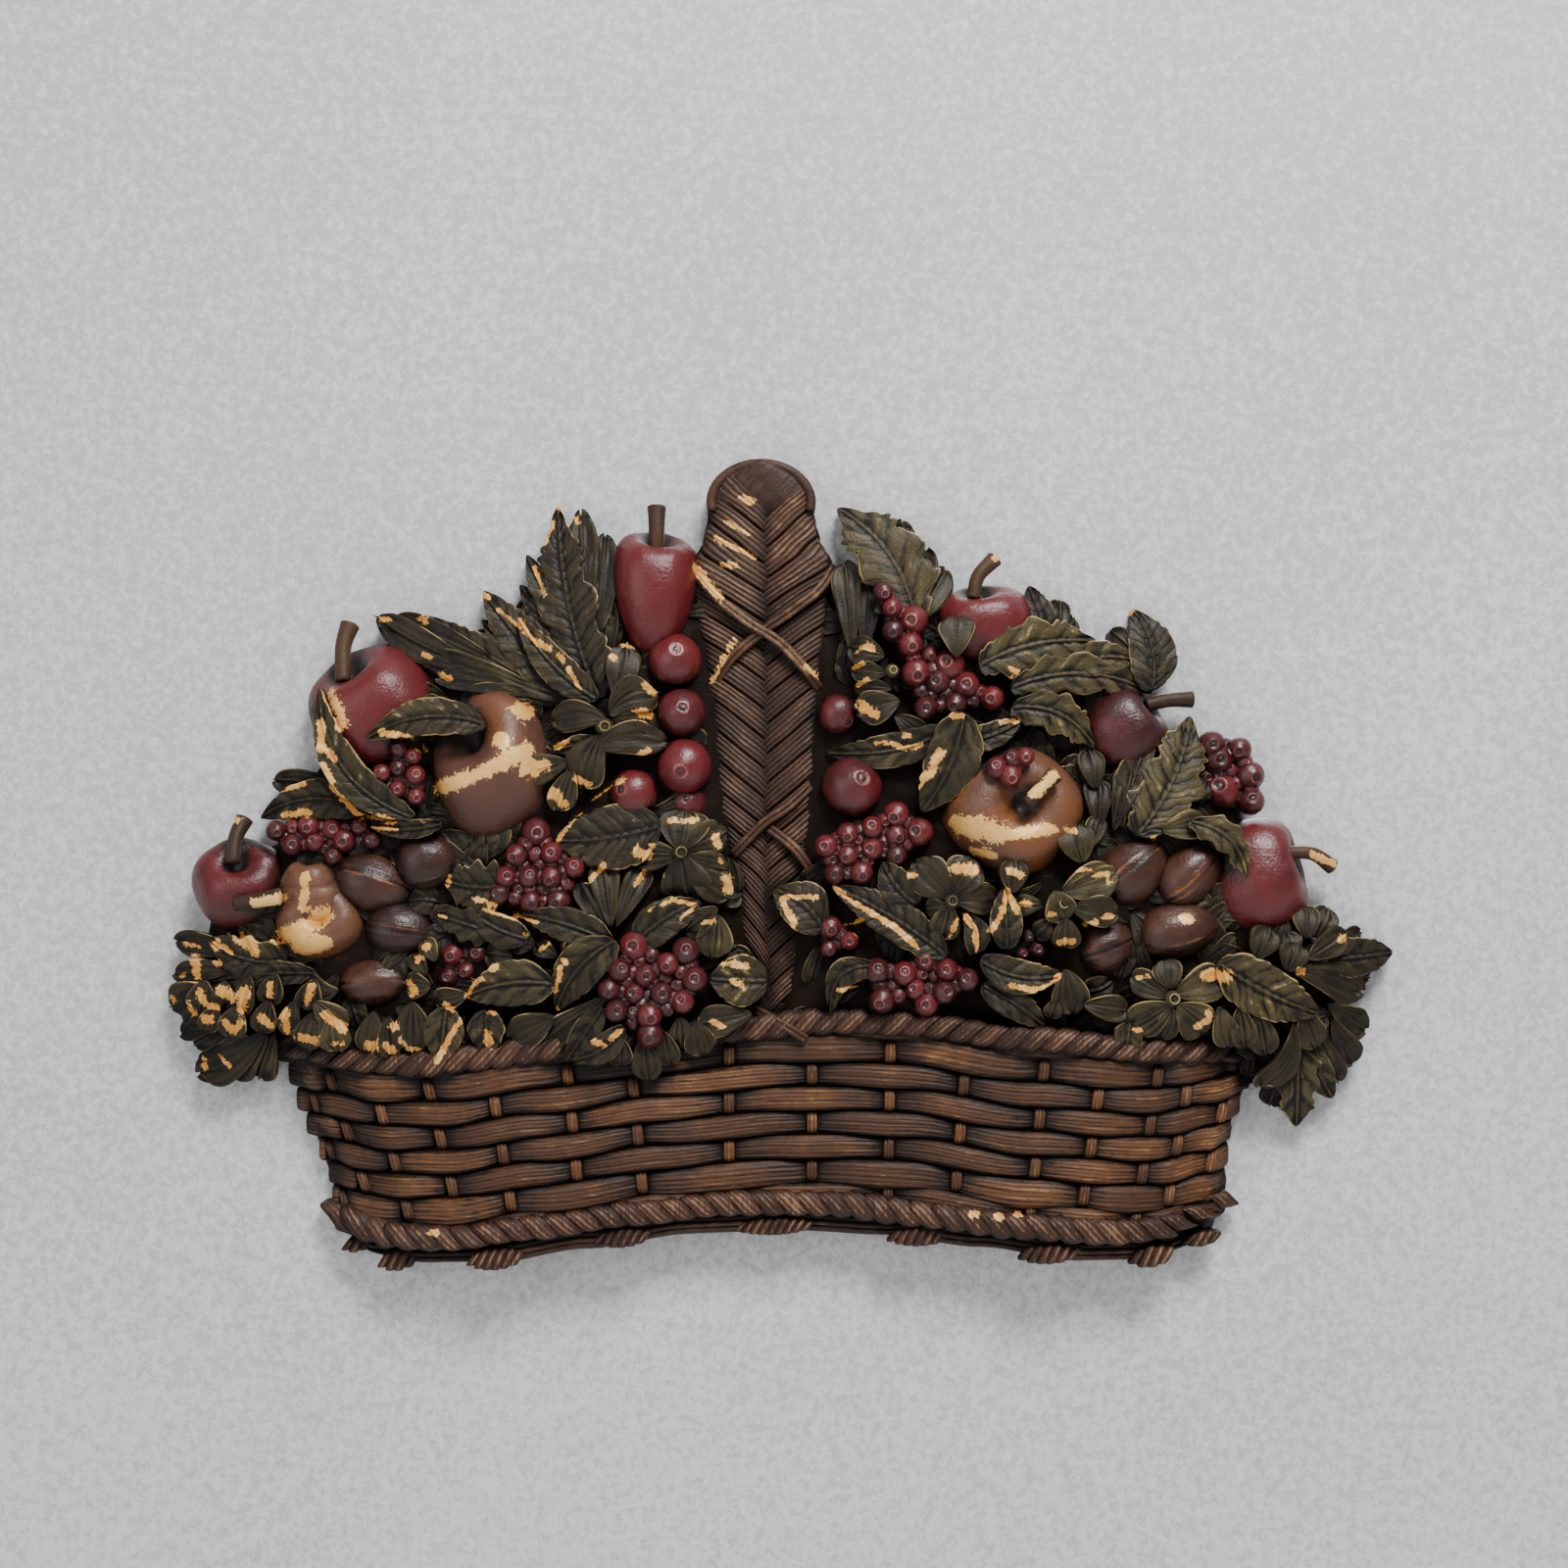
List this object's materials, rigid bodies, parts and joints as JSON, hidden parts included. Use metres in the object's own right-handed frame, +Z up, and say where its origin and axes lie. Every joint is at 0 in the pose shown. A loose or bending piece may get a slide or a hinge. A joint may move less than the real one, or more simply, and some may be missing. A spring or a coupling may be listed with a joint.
{
  "type": "wall plaque",
  "caption": "Moulded relief wall plaque of a woven basket with a plaited handle, heaped with fruit, nuts, berries, blossom and leaves, with a flat back.",
  "frame": {"origin": "point on the flat back, midway along the plaque and close to its middle height, where it meets the wall", "axes": "+X to the right as seen from the front, +Y into the wall, +Z up; the relief stands out towards -Y"},
  "size_m": [0.5052, 0.0379, 0.3342],
  "materials": {
    "basket_brown": "satin painted moulding, dark in the crevices, worn warm brown on the strips",
    "leaf_olive": "satin dark olive brown with worn gold edges",
    "fruit_maroon": "satin maroon, greyer on the upper sides",
    "fruit_gold": "satin brown rubbed with gold and orange",
    "berry_red": "satin dark red with rubbed rings",
    "nut_brown": "satin purple brown with lighter seams"
  },
  "bodies": {
    "root": {"fruit_basket_plaque": "basket_brown"}
  },
  "joints": []
}
